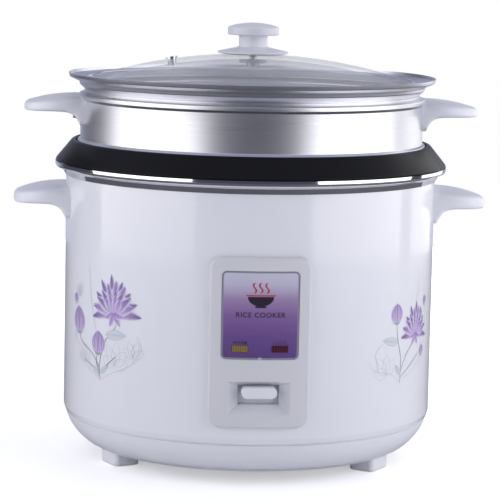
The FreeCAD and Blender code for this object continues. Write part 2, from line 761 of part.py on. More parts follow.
def keep_warm_heater():
    """Flat resistor clipped under the liner's floor."""
    return block("keep_warm_heater", ("30", "60"), ("30", "40"), ("76", "liner_floor - sheet - 0.05"))


def thermal_fuse():
    """Sleeved fuse lying under the liner's floor."""
    return lying("thermal_fuse", "2.2", "0 - 58", "0 - 32", "x", deep="34", up="78")


def wire(name, corners, bend, radius):
    """An insulated wire: straight runs joined by tangent arcs."""
    points = [V(*corner) for corner in corners]
    edges = []
    start = points[0]
    for before, corner, after in zip(points, points[1:], points[2:]):
        inward = (before - corner).normalize()
        outward = (after - corner).normalize()
        half = inward.getAngle(outward) / 2
        reach = bend / math.tan(half)
        middle = corner + (inward + outward).normalize() * (bend / math.sin(half) - bend)
        edges.append(Part.makeLine(start, corner + inward * reach))
        edges.append(Part.Arc(corner + inward * reach, middle, corner + outward * reach).toShape())
        start = corner + outward * reach
    edges.append(Part.makeLine(start, points[-1]))
    path = Part.Wire(edges)
    circle = Part.Wire(Part.makeCircle(radius, points[0], points[1] - points[0]))
    piece = doc.addObject("Part::Feature", name)
    piece.Shape = path.makePipeShell([circle], True, False)
    return piece


def internal_wires():
    """Wires from the inlet's blades and the terminal block to heater and switch."""
    height = value("inlet_height")
    back = 115.5
    live = wire("live_wire", [(-7, back, height - 2), (-7, 99, height - 2), (-9, 99, 20.5)], 5, 1.2)
    neutral = wire("neutral_wire", [(7, back, height - 2), (7, 99, height - 2), (9, 99, 20.5)], 5, 1.2)
    feed = wire("heater_wire", [(12.3, 69.9, 71.5), (12.3, 69.9, 45), (24, 88, 34), (24, 88, 24)], 5, 1.2)
    back_wire = wire("switch_wire", [(0, -77.5, 64), (0, -60, 64), (-30, 0, 40), (-24, 88, 34),
                                     (-24, 88, 24)], 5, 1.2)
    return group("internal_wires", [live, neutral, feed, back_wire])


# ---------------------------------------------------------------- pot and steamer tray
def inner_pot():
    """Spun aluminium cooking pot with a flat rim."""
    return spun("inner_pot", [
        ("0", "pot_bottom"), ("pot_radius + pot_wall", "pot_bottom", "bend", "14"),
        ("pot_radius + pot_wall", "collar_ledge + fit_gap", "bend", "2.2"),
        ("pot_rim", "collar_ledge + fit_gap")], "pot_wall")


def steamer_tray():
    """Spun tray: perforated basket below, bead on the pot's rim, flared mouth."""
    tray = spun("tray", [
        ("0", "tray_floor"), ("122.5", "tray_floor", "bend", "8"),
        ("124.6", "tray_seat", "bend", "0.9"), ("134.2", "tray_seat", "bend", "1.8"),
        ("134.2", "243.8", "bend", "1.6"), ("tray_radius", "245.2", "bend", "1.2"),
        ("tray_radius", "274.6", "bend", "1.2"), ("133.2", "276.2", "bend", "0.9"),
        ("133.2", "279.2", "bend", "0.9"), ("128.4", "281.3", "bend", "1"),
        ("129.3", "283.2", "bend", "1"), ("132.8", "286.3", "bend", "2"),
        ("133.2", "288.8", "bend", "1"), ("140.6", "292.1", "bend", "1.2"), ("141.2", "295")],
        "tray_wall")
    holes = []
    for ring, count in ((18, 6), (38, 12), (58, 18), (78, 24), (98, 30)):
        spread = [360 * index / count for index in range(count)]
        holes += around("steam_hole_%d" % ring, "2.6", "tray_floor - 5", "tray_floor + 5", ring, spread)
    holes += tray_rivet_row("tray_rivet_hole", "1.6", "128", "136")
    return cut("steamer_tray", tray, *holes)


def tray_rivet_row(name, radius, low, high):
    """Cylinders along X through the roots of both tray handles."""
    row = []
    for side in (1, -1):
        ends = (low, high) if side > 0 else ("0 - (%s)" % high, "0 - (%s)" % low)
        for deep in ("0 - 13", "13"):
            label = "%s_%d" % (name, len(row))
            row.append(lying(label, radius, ends[0], ends[1], "x", deep=deep, up="262"))
    return row


def steamer_handle(name, azimuth):
    tab = tab_handle(name, "tray_radius", "tray_handle_tip", "278.6", "266", "272", "265.6", "255",
                     "tray_radius + 0.05")
    clear = upright(name + "_bead_room", "133.6", "273.8", "290")
    holes = tray_rivet_row(name + "_rivet_hole", "1.55", "125", "138")
    return turned_about(cut(name, tab, clear, *holes[:2]), azimuth)


def steamer_rivets():
    shanks = tray_rivet_row("tray_rivet", "1.5", "129.8", "137.6")
    heads = tray_rivet_row("tray_rivet_head", "3", "128.2", "129.8")
    return screw_set("steamer_rivets", shanks, heads)


# ---------------------------------------------------------------- lid
CROWN = "(glass_radius ^ 2 + glass_rise ^ 2) / (2 * glass_rise)"


def lid_glass():
    """Domed glass with a hole for the knob's screw and one for the vent."""
    top = "glass_edge + glass_rise"
    dome = turned("lid_glass", [
        ("3", top + " - glass_wall", "arc", "0 - (%s)" % CROWN),
        ("glass_radius", "glass_edge - glass_wall"),
        ("glass_radius", "glass_edge", "arc", CROWN), ("3", top)])
    return cut("lid_glass", dome, vent_piece("vent_hole", "3.7", "0 - 12", "12"))


def lid_rim_band():
    """Steel band that wraps the glass and sits in the tray's mouth."""
    low = "glass_edge - 4.7"
    return turned("lid_rim_band", [
        ("122.8", low), ("131.2", low), ("131.2", low + " + 0.6"),
        ("127.1", low + " + 0.6"), ("127.1", "glass_edge + 0.7", "bend", "0.5"),
        ("123.2", "glass_edge + 1.7"), ("123", "glass_edge + 1.2"), ("126.5", "glass_edge + 0.2"),
        ("126.5", low + " + 0.6"), ("122.8", low + " + 0.6")])


def vent_piece(name, radius, low, high):
    """A cylinder square to the glass where the steam vent sits."""
    across, deep = -62.0, 12.0
    crown = value(CROWN)
    reach = math.hypot(across, deep)
    top = value("glass_edge + glass_rise") - crown + math.sqrt(crown ** 2 - reach ** 2)
    normal = V(across, deep, math.sqrt(crown ** 2 - reach ** 2)).normalize()
    rod = doc.addObject("Part::Cylinder", name)
    spot = V(across, deep, top) + normal * value(low)
    rod.Placement = FreeCAD.Placement(spot, FreeCAD.Rotation(UP, normal))
    return bind(rod, Radius=radius, Height="(%s) - (%s)" % (high, low))


def vent_grommet():
    """Steel eyelet round the steam hole."""
    collar = vent_piece("vent_collar", "5", "0.15", "1.5")
    neck = vent_piece("vent_neck", "3.6", "0 - 4.6", "1")
    clinch = vent_piece("vent_clinch", "4.8", "0 - 5.2", "0 - 4.15")
    bore = vent_piece("vent_bore", "2.2", "0 - 12", "12")
    return cut("vent_grommet", fuse("vent_blank", collar, neck, clinch), bore)


def knob_guard():
    """Wide guard disc under the knob that keeps steam off the fingers."""
    low = "glass_edge + glass_rise + 0.3"
    return turned("knob_guard", [
        ("2.3", low), ("23.5", low), ("guard_radius", low + " + 0.7", "bend", "0.6"),
        ("guard_radius - 0.2", low + " + 2", "bend", "0.9"), ("12.5", "316.2"), ("11.5", "316.8"),
        ("2.3", "316.8")])


def lid_knob():
    """Mushroom knob with a crowned top and a blind hole for its screw."""
    knob = turned("lid_knob", [
        ("0", "316.8"), ("11", "316.8"), ("11", "325.3", "bend", "1"),
        ("knob_radius", "325.7", "bend", "1"), ("knob_radius", "331.8", "bend", "1.6"),
        ("0", "knob_top")])
    return cut("lid_knob", knob, upright("knob_bore", "2.1", "310", "328"))


def knob_washer():
    """Soft washer under the glass."""
    return tube("knob_washer", "2.3", "10.3", "304.2", "glass_edge + glass_rise - glass_wall - 0.25")


def knob_screw():
    return fuse("knob_screw", upright("knob_shank", "2", "304.2", "327.5"),
                upright("knob_screw_head", "5", "301.8", "304.2"))


# ---------------------------------------------------------------- build and write
def build():
    for name, make in (("outer_shell", outer_shell), ("trim_band", trim_band),
                       ("top_collar", top_collar), ("inner_liner", inner_liner),
                       ("base_ring", base_ring), ("bottom_cover", bottom_cover)):
        keep(name, make())
    for name, azimuth in FOOT_AZIMUTHS.items():
        keep(name, foot(name, azimuth + SIZES["foot_turn"]))
    keep("body_handle_right", body_handle("body_handle_right", 0))
    keep("body_handle_left", body_handle("body_handle_left", 180))
    for make in (foot_screws, base_screws, handle_screws, control_panel, panel_label, lamp_holder,
                 panel_screws, power_inlet, inlet_pins, inlet_screws, terminal_block, heater_plate,
                 heater_terminals, heater_spacers, heater_screws, sensor_cap, ferrite_disc,
                 sensor_sleeve, plunger_rod, plunger_magnet, switch_lever, lever_knob,
                 lever_pivot_pin, lever_bracket, micro_switch, switch_button, keep_warm_heater,
                 thermal_fuse, internal_wires, inner_pot, steamer_tray, steamer_rivets, lid_glass,
                 lid_rim_band, vent_grommet, knob_guard, lid_knob, knob_washer, knob_screw):
        keep(make.__name__, make())
    for name, side in (("warm", -1), ("cook", 1)):
        keep(name + "_lamp_lens", lamp_lens(name + "_lens", side))
        keep(name + "_lamp", lamp(name + "_bulb", side))
    keep("steamer_handle_right", steamer_handle("steamer_handle_right", 0))
    keep("steamer_handle_left", steamer_handle("steamer_handle_left", 180))
    keep("sensor_spring", coil("sensor_spring", "15", "0.7", "81.15", "98.3", 4))
    keep("magnet_spring", coil("magnet_spring", "7", "0.35", "89.9", "95.1", 4))


def write():
    doc.recompute()
    faults = [o.Label for o in doc.Objects if "Invalid" in o.State or "Error" in o.State]
    if faults:
        raise RuntimeError("objects that failed: " + ", ".join(faults))
    for node in nodes:
        if node.Shape.isNull() or not node.Shape.isValid() or node.Shape.Volume <= 0:
            raise RuntimeError("bad shape: " + node.Label)
    os.makedirs("parts", exist_ok=True)
    for node in nodes:
        node.Shape.exportStep("parts/%s.step" % node.Label)
        print("%-22s %9.1f mm3, %d solids" % (node.Label, node.Shape.Volume, len(node.Shape.Solids)))


build()
write()
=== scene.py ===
# %% [markdown]
# # A drum rice cooker with its steamer tray and glass lid
# This lesson dresses a rice cooker that is already designed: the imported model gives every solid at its
# true size and place, and here each visible piece gets its finished surface and its material.
# Pressed and spun sheet-metal pieces are turned again as smooth meshes, because a reflection shows
# every facet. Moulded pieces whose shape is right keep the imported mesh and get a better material.

import json
import math

import bpy
from mathutils import Matrix, Vector


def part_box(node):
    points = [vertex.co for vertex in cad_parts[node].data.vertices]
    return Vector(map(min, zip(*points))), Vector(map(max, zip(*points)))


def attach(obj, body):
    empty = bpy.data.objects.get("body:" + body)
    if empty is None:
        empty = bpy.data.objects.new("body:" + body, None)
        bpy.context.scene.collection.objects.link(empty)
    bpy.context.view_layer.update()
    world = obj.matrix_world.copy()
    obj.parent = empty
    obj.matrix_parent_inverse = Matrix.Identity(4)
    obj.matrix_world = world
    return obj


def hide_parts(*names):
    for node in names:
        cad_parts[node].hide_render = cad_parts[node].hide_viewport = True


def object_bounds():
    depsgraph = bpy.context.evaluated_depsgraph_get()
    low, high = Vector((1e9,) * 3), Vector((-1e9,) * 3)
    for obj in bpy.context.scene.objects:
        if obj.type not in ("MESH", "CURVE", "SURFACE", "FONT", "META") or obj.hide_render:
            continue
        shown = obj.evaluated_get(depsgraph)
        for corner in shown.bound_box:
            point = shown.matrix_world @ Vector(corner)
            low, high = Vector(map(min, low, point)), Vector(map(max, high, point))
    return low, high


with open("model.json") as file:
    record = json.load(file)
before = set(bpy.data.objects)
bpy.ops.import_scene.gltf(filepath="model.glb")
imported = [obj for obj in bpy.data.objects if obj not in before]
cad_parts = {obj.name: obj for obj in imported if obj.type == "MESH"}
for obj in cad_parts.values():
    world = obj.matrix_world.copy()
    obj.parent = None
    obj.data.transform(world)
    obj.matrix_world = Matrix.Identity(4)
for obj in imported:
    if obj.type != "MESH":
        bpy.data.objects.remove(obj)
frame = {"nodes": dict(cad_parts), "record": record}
nodes = frame["nodes"]
packed_box = [list(corner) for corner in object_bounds()]
MM = 0.001
print("packed pieces:", len(nodes), "box:", [round(side, 4) for side in packed_box[1]])

# %% [markdown]
# ## Shader maths
# A material here is a small calculation over the surface. Wrapping a socket in a class with overloaded
# operators lets the calculation be written as an ordinary Python expression, and each operator adds
# one Math node. Colours never pass through Math nodes, which would turn them grey: they are blended.


# %% A socket that can be calculated with
class Signal:
    """A node's output, used as a number."""

    def __init__(self, board, socket):
        self.board, self.socket = board, socket

    def work(self, operation, *values):
        return self.board.node("ShaderNodeMath", {"operation": operation}, dict(enumerate(values)))

    def __add__(self, other):
        return self.work("ADD", self, other)

    def __mul__(self, other):
        return self.work("MULTIPLY", self, other)

    def __sub__(self, other):
        return self.work("SUBTRACT", self, other)

    def __rsub__(self, other):
        return self.work("SUBTRACT", other, self)

    def __pow__(self, other):
        return self.work("POWER", self, other)

    __radd__, __rmul__ = __add__, __mul__


# %% A node tree under construction
class Board:
    """A node tree and the helpers that add to it."""

    def __init__(self, tree):
        self.tree = tree

    def node(self, kind, settings=None, sockets=None, result=0):
        made = self.tree.nodes.new(kind)
        for setting, value in (settings or {}).items():
            if setting == "stops":
                ramp = made.color_ramp.elements
                while len(ramp) < len(value):
                    ramp.new(0.5)
                for stop, (place, colour) in zip(ramp, value):
                    stop.position, stop.color = place, (*colour, 1)
            else:
                setattr(made, setting, value)
        for socket, value in (sockets or {}).items():
            if isinstance(value, Signal):
                self.tree.links.new(value.socket, made.inputs[socket])
            else:
                made.inputs[socket].default_value = value
        return Signal(self, made.outputs[result])

    def split(self, vector):
        """The three parts of a vector, each as a number."""
        parts = self.node("ShaderNodeSeparateXYZ", None, {0: vector}).socket.node.outputs
        return [Signal(self, socket) for socket in parts]

    def axes(self):
        return self.split(self.node("ShaderNodeTexCoord", result="Object"))

    def place(self, scale=(1, 1, 1)):
        spot = self.node("ShaderNodeTexCoord", result="Object")
        return self.node("ShaderNodeMapping", None, {"Vector": spot, "Scale": scale})

    def noise(self, scale, detail=2.0, stretch=(1, 1, 1), vector=None):
        return self.node("ShaderNodeTexNoise", None, {
            "Vector": vector or self.place(stretch), "Scale": scale, "Detail": detail})

    def fade(self, value, start, end, low=0.0, high=1.0):
        """Eases from low to high while the value goes from start to end."""
        return self.node("ShaderNodeMapRange", {"interpolation_type": "SMOOTHSTEP"}, {
            "Value": value, "From Min": start, "From Max": end, "To Min": low, "To Max": high})

    def blend(self, amount, first, second):
        return self.node("ShaderNodeMix", {"data_type": "RGBA"}, {
            0: amount, 6: first if isinstance(first, Signal) else (*first, 1),
            7: second if isinstance(second, Signal) else (*second, 1)}, result=2)


# %% A material under construction
class Finish(Board):
    """A Principled material for one slot."""

    def __init__(self, slot, **fixed):
        self.slot = slot
        self.material = bpy.data.materials.new(slot)
        self.material.use_nodes = True
        super().__init__(self.material.node_tree)
        self.shader = self.tree.nodes["Principled BSDF"]
        for label, value in fixed.items():
            self.shader.inputs[label.replace("_", " ")].default_value = value

    def bump(self, height, distance, strength=1.0):
        self.feed("Normal", self.node("ShaderNodeBump", None, {
            "Height": height, "Distance": distance, "Strength": strength}))

    def feed(self, label, signal):
        self.tree.links.new(signal.socket, self.shader.inputs[label])


# %% [markdown]
# ## Painted and moulded finishes
# The drum is steel under a thick gloss white enamel: the colour drifts a little with the film, the
# roughness has faint wipe marks, and a very shallow ripple, the orange peel, breaks up reflections.
# The mouldings are a slightly greyer plastic with a finer grain and no separate clear coat.


# %% Enamel and plastics
def moulded(slot, light, dark, rough, grain, depth, **fixed):
    """A plastic or paint: colour drift, uneven gloss and a fine surface grain."""
    finish = Finish(slot, **fixed)
    drift = finish.noise(14, 3)
    smear = finish.noise(60, 4, (1, 1, 0.3))
    finish.feed("Base Color", finish.blend(drift, light, dark))
    finish.feed("Roughness", rough * 0.8 + smear * (rough * 0.4))
    finish.bump(finish.noise(grain, 2), depth)
    return finish


finishes = {}
for made in (
    moulded("shell_enamel", (0.86, 0.86, 0.9), (0.82, 0.82, 0.865), 0.2, 420, 0.00001,
            Coat_Weight=0.5, Coat_Roughness=0.05),
    moulded("white_plastic", (0.84, 0.84, 0.885), (0.79, 0.79, 0.84), 0.32, 900, 0.000015),
    moulded("panel_plastic", (0.7, 0.7, 0.73), (0.66, 0.66, 0.695), 0.38, 1200, 0.00002),
    moulded("collar_black", (0.006, 0.006, 0.007), (0.01, 0.01, 0.011), 0.34, 1500, 0.00003,
            Specular_IOR_Level=0.12),
    moulded("dark_plastic", (0.03, 0.03, 0.033), (0.045, 0.045, 0.048), 0.45, 1400, 0.00003),
    moulded("ceramic_white", (0.8, 0.78, 0.73), (0.72, 0.7, 0.65), 0.6, 1800, 0.00004),
    moulded("ferrite_grey", (0.06, 0.06, 0.065), (0.09, 0.09, 0.095), 0.6, 2200, 0.00004),
    moulded("button_red", (0.55, 0.04, 0.03), (0.45, 0.03, 0.025), 0.35, 1500, 0.00002),
    moulded("silicone", (0.62, 0.62, 0.63), (0.55, 0.55, 0.56), 0.5, 1600, 0.00002),
    moulded("wire_insulation", (0.7, 0.68, 0.6), (0.6, 0.58, 0.5), 0.5, 1600, 0.00002),
):
    finishes[made.slot] = made
print("moulded finishes:", len(finishes))

# %% [markdown]
# ## Metals
# Spun aluminium keeps the fine rings that the polishing belt leaves round the axis. The rings follow
# radius plus height, so one pattern serves walls and floors alike, and the anisotropic setting draws
# reflections out across the rings. Chrome and steel are nearly clean, with faint wipe marks.


# %% Ringed and plain metals
def ringed(slot, light, dark, rough, rings, depth, **fixed):
    """Metal polished while it turned about the upright axis."""
    finish = Finish(slot, Metallic=1.0, **fixed)
    across, deep, up = finish.axes()
    radius = (across * across + deep * deep) ** 0.5
    lane = finish.node("ShaderNodeCombineXYZ", None, {0: across * 6, 1: deep * 6, 2: (radius + up) * rings})
    lines = finish.noise(1.0, 5, vector=lane)
    finish.feed("Base Color", finish.blend(lines, light, dark))
    finish.feed("Roughness", rough * 0.75 + lines * (rough * 0.5))
    finish.bump(lines, depth)
    return finish


def plain_metal(slot, light, dark, rough, grain, depth, **fixed):
    """Metal with faint wipe marks and no rings."""
    return moulded(slot, light, dark, rough, grain, depth, Metallic=1.0, **fixed)


for made in (
    ringed("spun_aluminium", (0.84, 0.84, 0.88), (0.72, 0.72, 0.77), 0.3, 1500, 0.00001, Anisotropic=0.6),
    ringed("pot_aluminium", (0.82, 0.82, 0.84), (0.68, 0.68, 0.7), 0.36, 900, 0.00001, Anisotropic=0.5),
    ringed("band_steel", (0.84, 0.84, 0.86), (0.76, 0.76, 0.78), 0.16, 2200, 0.000002, Anisotropic=0.3),
    plain_metal("chrome_trim", (0.9, 0.9, 0.92), (0.84, 0.84, 0.87), 0.07, 120, 0.000003),
    plain_metal("zinc_steel", (0.66, 0.67, 0.68), (0.5, 0.51, 0.53), 0.34, 300, 0.00001),
    plain_metal("blade_brass", (0.76, 0.56, 0.25), (0.6, 0.42, 0.18), 0.3, 500, 0.00001),
):
    finishes[made.slot] = made
print("finishes so far:", len(finishes))

# %% [markdown]
# ## Glass, lenses and the printed label
# The lid is thin clear glass with a trace of green-grey: it hides more where it is seen edge on, so the
# layer weight drives how solid it looks. The two lamp lenses are tinted plastic with fine
# upright ribs that spread the lamp's light. The label is a printed film: a violet wash that deepens
# downwards, so its colour is a ramp over height, with a print grain over it.

# %% See-through finishes
glass = Finish("lid_clear", IOR=1.5)
glass.feed("Base Color", glass.blend(glass.noise(18, 2), (0.95, 0.955, 0.95), (0.88, 0.885, 0.88)))
glass.feed("Roughness", 0.02 + glass.noise(30, 3) * 0.03)
edge_on = glass.node("ShaderNodeLayerWeight", None, {"Blend": 0.5}, result="Facing")
glass.feed("Alpha", 0.12 + edge_on ** 4 * 0.34)
glass.bump(glass.noise(25, 1), 0.00002)
lamp_glass = Finish("lamp_glass", Base_Color=(0.95, 0.9, 0.84, 1), Transmission_Weight=0.9, IOR=1.45)
lamp_glass.feed("Roughness", 0.02 + lamp_glass.noise(200, 2) * 0.04)


rib = 1.25 * MM


def lens(slot, bright, deep):
    """Tinted plastic with upright ribs; the colour is painted lighter and deeper across each rib."""
    finish = Finish(slot, Transmission_Weight=0.25, IOR=1.5, Coat_Weight=0.5)
    ribs = finish.axes()[0] * (2 * math.pi / rib)
    wave = ribs.work("SINE", ribs) * 0.5 + 0.5
    # painted rib shading: the colour runs from deep to bright with each rib's wave, over a random drift in
    # the tint
    finish.feed("Base Color", finish.blend(wave * 0.35 + finish.noise(300, 2) * 0.4, deep, bright))
    finish.feed("Roughness", 0.2 + wave * 0.15)
    finish.bump(wave, 0.00006)
    return finish


amber = lens("amber_lens", (0.42, 0.3, 0.06), (0.24, 0.16, 0.03))
red = lens("red_lens", (0.14, 0.01, 0.025), (0.08, 0.004, 0.014))

# %% The label's violet wash
label = Finish("label_print", Coat_Weight=0.25, Coat_Roughness=0.2)
low, high = (corner.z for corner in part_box("panel_label"))
rise = (label.axes()[2] - low) * (1 / (high - low))
wash = label.node("ShaderNodeValToRGB", {"stops": [
    (0.0, (0.085, 0.03, 0.2)), (0.25, (0.125, 0.05, 0.25)), (0.5, (0.21, 0.1, 0.32)),
    (0.68, (0.33, 0.22, 0.42)), (0.85, (0.52, 0.5, 0.64)), (1.0, (0.6, 0.6, 0.68))]}, {0: rise})
middle, corner_round = (low + high) / 2, 0.0035
across, _, up = label.axes()
over = [side.work("MAXIMUM", side.work("ABSOLUTE", side) - reach, 0.0) for side, reach in (
    (across, 0.028 - corner_round), (up - middle, (high - low) / 2 - corner_round))]
outward = (over[0] * over[0] + over[1] * over[1]) ** 0.5
border = label.node("ShaderNodeMapRange", None, {
    "Value": outward, "From Min": corner_round - 0.0014, "From Max": corner_round - 0.0009})
speckle = label.noise(2500, 1)
film = label.blend(speckle * 0.06, wash, (0.9, 0.85, 1.0))
label.feed("Base Color", label.blend(border, film, (0.27, 0.26, 0.33)))
label.feed("Roughness", 0.3 + label.noise(80, 3) * 0.12)
label.bump(speckle, 0.000004)
for made in (glass, lamp_glass, amber, red, label):
    finishes[made.slot] = made

# %% [markdown]
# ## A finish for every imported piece
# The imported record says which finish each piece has, inside ones included. Putting that finish into
# the piece's own material slot leaves its shape alone.

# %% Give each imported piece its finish
for part in frame["record"]["subparts"]:
    surface = nodes[part["node"]].data.materials
    surface.clear()
    surface.append(finishes[part["material_slot"]].material)

# %% [markdown]
# ## Turning sheet metal
# Deep-drawn and spun pieces are bodies of revolution. The way to make one is to add a circle at the
# start of the profile, then extrude it and scale it ring by ring along the profile, as a potter pulls
# a wall. Bends get true arcs, worked out from the bend radius, and Solidify gives the sheet its wall.


# %% Profile helpers
def soften(path, steps=6):
    """A profile of (radius, height, bend) corners, with each bend rounded."""
    points = []
    for place, corner in enumerate(path):
        here = Vector(corner[:2])
        if len(corner) < 3:
            points.append(here)
            continue
        back = Vector(path[place - 1][:2]) - here
        onward = Vector(path[(place + 1) % len(path)][:2]) - here
        half = back.angle(onward) / 2
        reach = min(corner[2] / math.tan(half), back.length * 0.48, onward.length * 0.48)
        middle = here + (back.normalized() + onward.normalized()).normalized() * reach / math.cos(half)
        start, end = here + back.normalized() * reach - middle, here + onward.normalized() * reach - middle
        swing = math.atan2(end.y, end.x) - math.atan2(start.y, start.x)
        swing = (swing + math.pi) % (2 * math.pi) - math.pi
        for step in range(steps + 1):
            points.append(middle + Matrix.Rotation(swing * step / steps, 2) @ start)
    return points


def bow(start, end, radius, steps=10):
    """Points between start and end on an arc; it bulges right of the way there, or left if radius < 0."""
    start, end = Vector(start), Vector(end)
    half = (end - start) / 2
    side = Vector((-half.y, half.x)).normalized() * math.copysign(1, radius)
    middle = start + half + side * math.sqrt(radius * radius - half.length_squared)
    swing = 2 * math.asin(half.length / abs(radius)) * math.copysign(1, radius)
    return [tuple(middle + Matrix.Rotation(swing * step / steps, 2) @ (start - middle))
            for step in range(1, steps)]


# %% Turning and dressing
CREASE = 32  # degrees: a sharper edge than this stays sharp


def only(piece):
    """Object mode, with this piece alone selected and active."""
    if bpy.context.object and bpy.context.object.mode != "OBJECT":
        bpy.ops.object.mode_set(mode="OBJECT")
    bpy.ops.object.select_all(action="DESELECT")
    if piece:
        piece.select_set(True)
        bpy.context.view_layer.objects.active = piece


def turned(name, path, wall=0, side=-1, steps=160):
    """A piece of revolution: a circle extruded and scaled along the profile (mm)."""
    only(None)
    points = soften(path)
    reach = [max(point.x, 0.02) for point in points]
    bpy.ops.mesh.primitive_circle_add(
        vertices=steps, radius=reach[0] * MM, location=(0, 0, points[0].y * MM))
    piece = bpy.context.object
    piece.name = name
    bpy.ops.object.transform_apply(location=True, rotation=True, scale=True)
    bpy.ops.object.mode_set(mode="EDIT")
    bpy.ops.mesh.select_all(action="SELECT")
    for place in range(1, len(points)):
        rise = (points[place].y - points[place - 1].y) * MM
        grow = reach[place] / reach[place - 1]
        bpy.ops.mesh.extrude_region_move(TRANSFORM_OT_translate={"value": (0, 0, rise)})
        bpy.ops.transform.resize(value=(grow, grow, 1), center_override=(0, 0, 0))
    bpy.ops.mesh.select_all(action="SELECT")
    bpy.ops.mesh.remove_doubles(threshold=0.00003)
    bpy.ops.mesh.normals_make_consistent(inside=False)
    bpy.ops.object.mode_set(mode="OBJECT")
    if wall:
        sheet = piece.modifiers.new("sheet", "SOLIDIFY")
        sheet.thickness, sheet.offset, sheet.use_even_offset = wall * MM, side, True
        bpy.ops.object.modifier_apply(modifier="sheet")
    bpy.ops.object.shade_smooth_by_angle(angle=math.radians(CREASE))
    return piece


def cut_away(piece, *cutters):
    """Cuts the joined cutters out of the piece and removes them."""
    only(cutters[0])
    for cutter in cutters:
        cutter.select_set(True)
    if len(cutters) > 1:
        bpy.ops.object.join()
    tool = bpy.context.object
    only(piece)
    gap = piece.modifiers.new("gap", "BOOLEAN")
    gap.operation, gap.object, gap.solver = "DIFFERENCE", tool, "EXACT"
    bpy.ops.object.modifier_apply(modifier="gap")
    bpy.data.objects.remove(tool)


def cutter_box(width, depth, height, spot):
    only(None)
    bpy.ops.mesh.primitive_cube_add(size=MM, location=[value * MM for value in spot])
    bpy.context.object.scale = (width, depth, height)
    bpy.ops.object.transform_apply(location=True, rotation=True, scale=True)
    return bpy.context.object


def dress(piece, slot, body, *stands_for):
    """Gives the piece its finish and its body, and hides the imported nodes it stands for."""
    piece.data.materials.clear()
    piece.data.materials.append(finishes[slot].material)
    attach(piece, body)
    if stands_for:
        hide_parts(*stands_for)
        low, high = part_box(stands_for[0])
        mine = [Vector(corner) for corner in piece.bound_box]
        gap = max(abs(edge[axis] - pick(corner[axis] for corner in mine))
                  for edge, pick in ((low, min), (high, max)) for axis in range(3))
        print("%-16s %6d faces, box within %.2f mm" % (piece.name, len(piece.data.polygons), gap / MM))


# %% [markdown]
# ## The drum and the base ring
# The drum is one enamelled sheet that turns in at its foot. A window in front passes the switch lever
# and one at the back the power inlet, cut with a Boolean box. The base ring is a thicker moulding
# whose outside curves in towards the feet.

# %% Drum
shell = turned("drum_shell", [(139.7, 34.3), (141.1, 34.5, 0.6), (142.5, 38.6, 3), (142.5, 221)], 0.8)
cut_away(shell, cutter_box(51, 30, 59, (0, -142, 82.5)), cutter_box(30, 30, 21, (0, 142, 60)))
bpy.ops.object.shade_smooth_by_angle(angle=math.radians(CREASE))
dress(shell, "shell_enamel", "housing", "outer_shell")

# %% Base ring
outside = [(125.8, 12.8)] + bow((125.8, 12.8), (140.6, 33.2), 37) + [(140.6, 33.2)]
inside = [(137.6, 34.4)] + bow((137.6, 34.4), (124.4, 14.9), -35) + [(124.4, 14.9)]
base = turned("base_skirt", outside + [(139.6, 33.3), (139.6, 44, 0.6), (137.6, 44, 0.6)] + inside
              + [(112.2, 14.9), (112.2, 12.8), (125.8, 12.8)])
dress(base, "white_plastic", "housing", "base_ring")

# %% [markdown]
# ## The rim: chrome band and black collar
# A chromed band with a flared lip covers the drum's top edge, and a black heat-proof moulding sits on
# it and guides the pot. Their small bends catch the light, so each bend is a true arc.

# %% Chrome band
trim = turned("chrome_rim", [(143.3, 217.6), (145.6, 221.8, 2), (150.9, 224.2, 2.2), (150.9, 227.8)], 0.6)
dress(trim, "chrome_trim", "housing", "trim_band")

# %% Collar
collar = turned("black_collar", [
    (141.4, 212), (141.4, 228), (151.2, 228, 0.8), (138.1, 244, 3), (135.3, 244, 1), (135.3, 237.5, 1),
    (129.6, 237.5, 0.8), (129.6, 231), (132.2, 231), (132.2, 235), (138.8, 235), (138.8, 212),
    (141.4, 212)])
dress(collar, "collar_black", "housing", "top_collar")

# %% [markdown]
# ## Liner and pot
# Inside the drum an aluminium liner holds the heater, and the rice pot hangs in it by its rolled rim.
# Both are drawn from sheet, so they are turned as one line and given their wall afterwards.

# %% Liner
liner = turned("heat_liner", [(141, 210), (133, 210, 1.5), (133, 80.9, 6), (20, 80.9)], 0.5, 1)
dress(liner, "pot_aluminium", "housing", "inner_liner")

# %% Pot
pot = turned("rice_pot", [
    (0, 100.3), (60, 100.3), (128.2, 100.3, 14), (128.2, 237.8, 2.2), (134.4, 237.8)], 1.2)
dress(pot, "pot_aluminium", "pot", "inner_pot")

# %% [markdown]
# ## Steamer tray
# The tray is the most worked piece: a shallow cup, a step that rests on the pot's rim, a plain band,
# a rolled bead and a wide flare for the lid. Its floor is pierced with rings of steam holes: a short
# cylinder is added at each hole of each ring, and one Boolean cuts them all.

# %% Tray
tray = turned("steam_tray", [
    (0, 212), (28, 212), (48, 212), (68, 212), (88, 212), (122.5, 212, 8), (124.6, 239.9, 0.9),
    (134.2, 239.9, 1.8), (134.2, 243.8, 1.6), (132, 245.2, 1.2), (132, 274.6, 1.2), (133.2, 276.2, 0.9),
    (133.2, 279.2, 0.9),
    (128.4, 281.3, 1), (129.3, 283.2, 1), (132.8, 286.3, 2), (133.2, 288.8, 1), (140.6, 292.1, 1.2),
    (141.2, 295)], 0.8)
punches = []
for ring, count in ((18, 6), (38, 12), (58, 18), (78, 24), (98, 30)):
    for step in range(count):
        turn = 2 * math.pi * (step + 0.5) / count
        only(None)
        bpy.ops.mesh.primitive_cylinder_add(vertices=16, radius=2.6 * MM, depth=4 * MM, location=(
            ring * MM * math.cos(turn), ring * MM * math.sin(turn), 212.4 * MM))
        punches.append(bpy.context.object)
cut_away(tray, *punches)
bpy.ops.object.shade_smooth_by_angle(angle=math.radians(CREASE))
dress(tray, "spun_aluminium", "tray", "steamer_tray")

